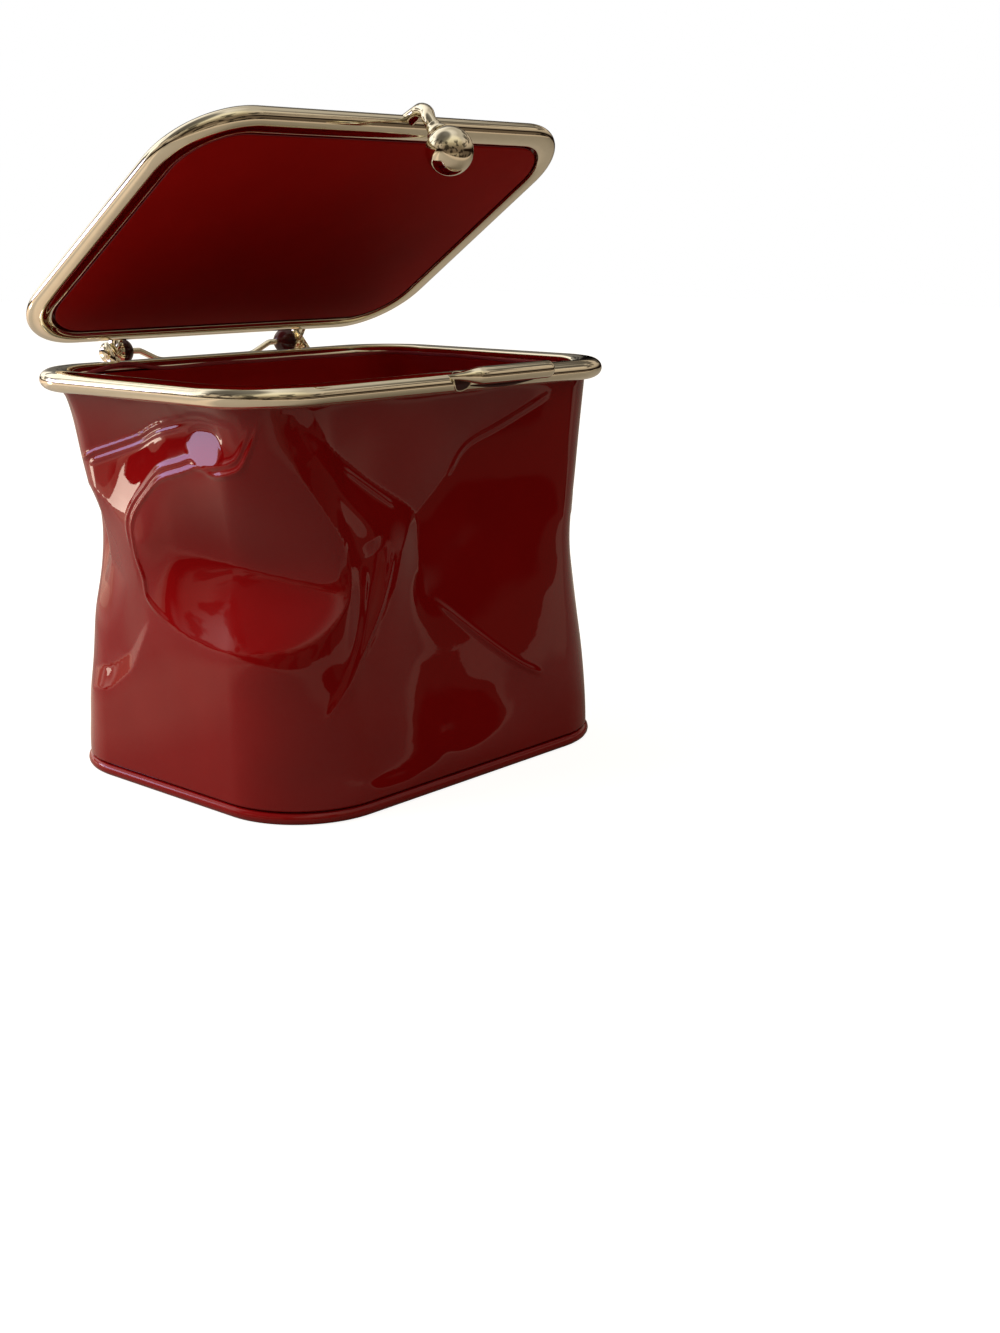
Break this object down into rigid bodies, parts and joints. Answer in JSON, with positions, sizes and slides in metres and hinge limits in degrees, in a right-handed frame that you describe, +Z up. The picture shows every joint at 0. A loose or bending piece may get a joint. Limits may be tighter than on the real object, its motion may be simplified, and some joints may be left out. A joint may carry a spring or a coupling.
{
  "type": "kiss-lock coin purse",
  "caption": "Small box-shaped coin purse in crumpled red patent leather, with a hinged lid in a metal frame and a ball that snaps over a catch rod.",
  "frame": {"origin": "on the floor under the middle of the frames, in the flat underside of the purse", "axes": "+Z is up, the clasp faces -Y, the hinge is behind at +Y, and X runs along the hinge line"},
  "size_m": [0.097, 0.0791, 0.1204],
  "materials": {
    "nickel_plate": "mirror-bright plating, pale warm tone",
    "red_patent_leather": "high-gloss patent coating, softly crumpled",
    "dark_red_satin": "soft low-sheen satin weave",
    "grey_card": "plain stiff card, hidden",
    "paper_cord": "twisted paper cord, hidden in the frames"
  },
  "bodies": {
    "purse_body": {"lower_frame": "nickel_plate", "catch_bar": "nickel_plate", "lower_hinge_lug_left": "nickel_plate", "lower_hinge_lug_right": "nickel_plate", "hinge_rivet_left": "nickel_plate", "hinge_rivet_right": "nickel_plate", "lid_spring_wire": "nickel_plate", "frame_cord": "paper_cord", "body_wall": "red_patent_leather", "body_lining": "dark_red_satin", "base_panel": "red_patent_leather", "base_welt": "red_patent_leather", "base_board": "grey_card", "base_lining": "dark_red_satin"},
    "lid": {"lid_frame": "nickel_plate", "clasp_arm": "nickel_plate", "ball_cup": "nickel_plate", "clasp_ball": "nickel_plate", "lid_hinge_lug_left": "nickel_plate", "lid_hinge_lug_right": "nickel_plate", "lid_cord": "paper_cord", "lid_cover": "red_patent_leather", "lid_board": "grey_card", "lid_lining": "dark_red_satin"}
  },
  "joints": [
    {"name": "lid_hinge", "type": "hinge", "parent": "purse_body", "child": "lid", "pos_m": [0.0014, 0.0387, 0.07607], "axis": [-1, 0, 0], "range_deg": [-34, 66]}
  ]
}
